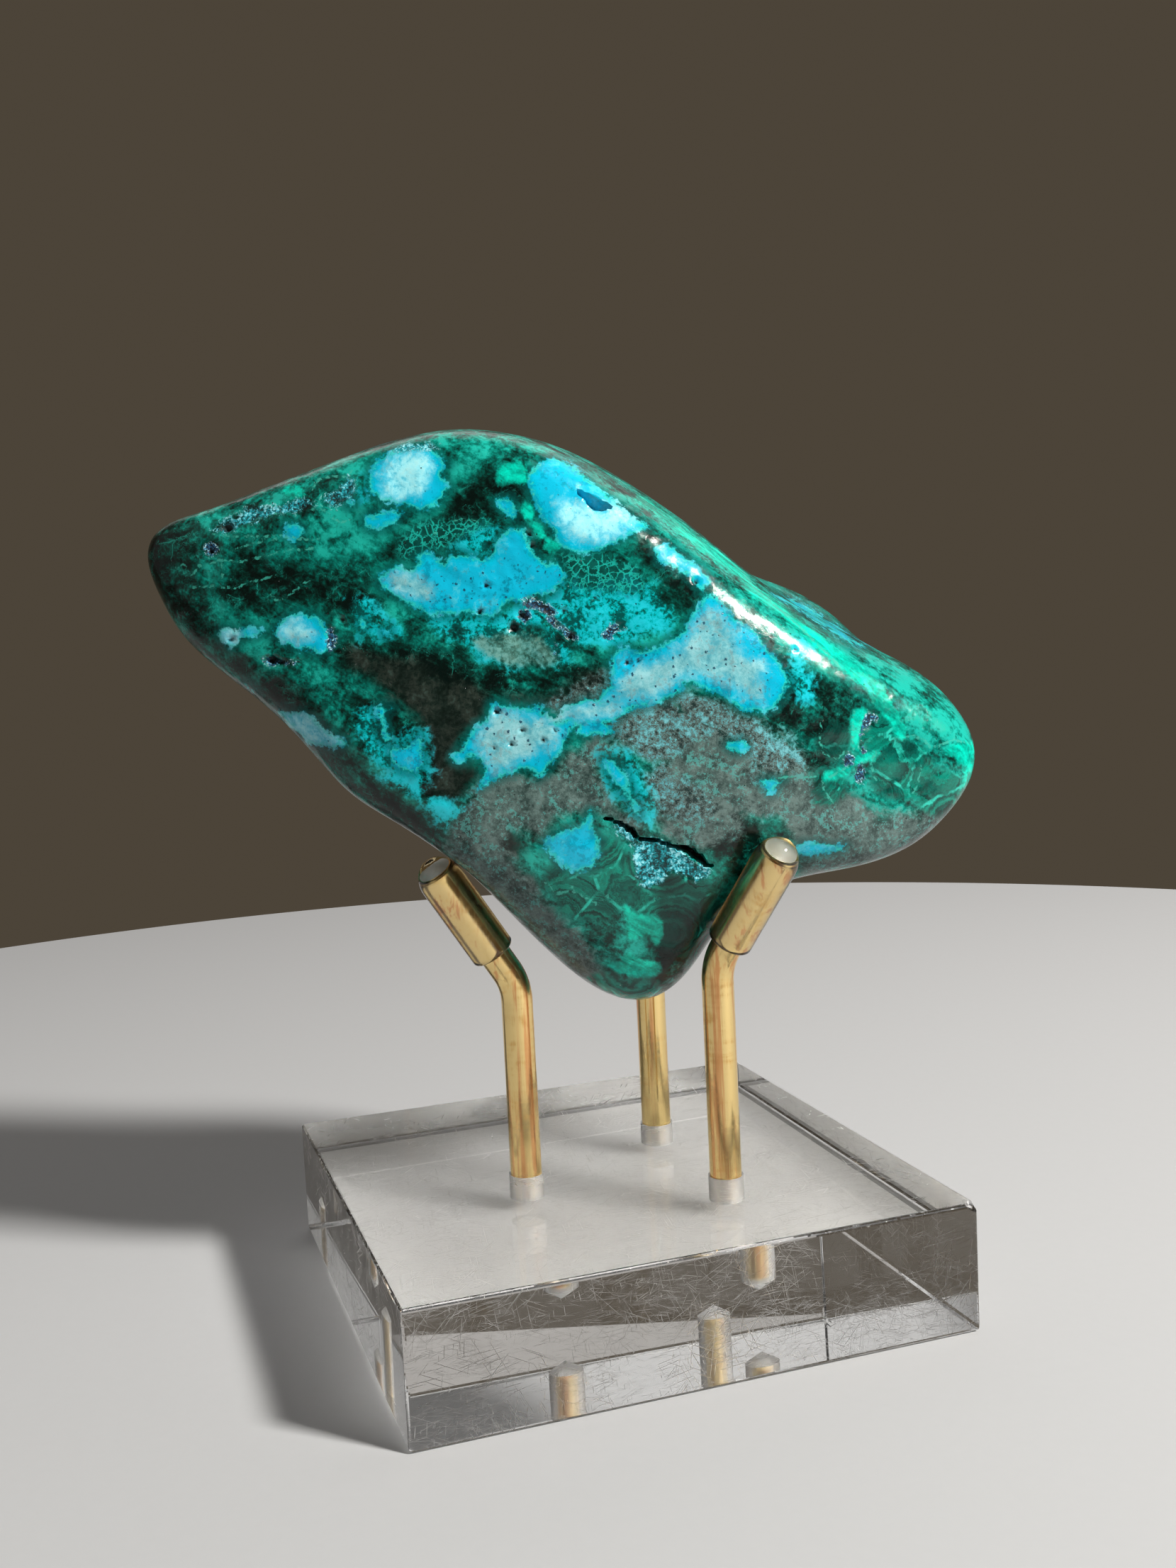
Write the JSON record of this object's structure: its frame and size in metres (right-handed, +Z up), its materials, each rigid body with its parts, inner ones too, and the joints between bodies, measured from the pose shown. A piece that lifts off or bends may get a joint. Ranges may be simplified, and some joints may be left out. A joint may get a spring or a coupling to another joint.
{
  "type": "malachite with chrysocolla",
  "caption": "Polished malachite with chrysocolla, held off the table by bent brass rods with clear caps in a clear block.",
  "frame": {"origin": "centre of the block's underside", "axes": "+Z up, -Y out of the block's front face, +X to the right as seen from the front; the stone's best face looks towards -Y, turned a little to -X"},
  "size_m": [0.0776, 0.053, 0.0852],
  "materials": {
    "stone": "polished, dark green with turquoise patches",
    "acrylic": "clear, polished, finely scratched",
    "brass": "drawn, lightly tarnished",
    "vinyl": "clear, soft"
  },
  "bodies": {
    "root": {"stone": "stone", "block": "acrylic", "rod_left": "brass", "rod_right": "brass", "rod_back": "brass", "cap_left": "vinyl", "cap_right": "vinyl", "cap_back": "vinyl"}
  },
  "joints": []
}
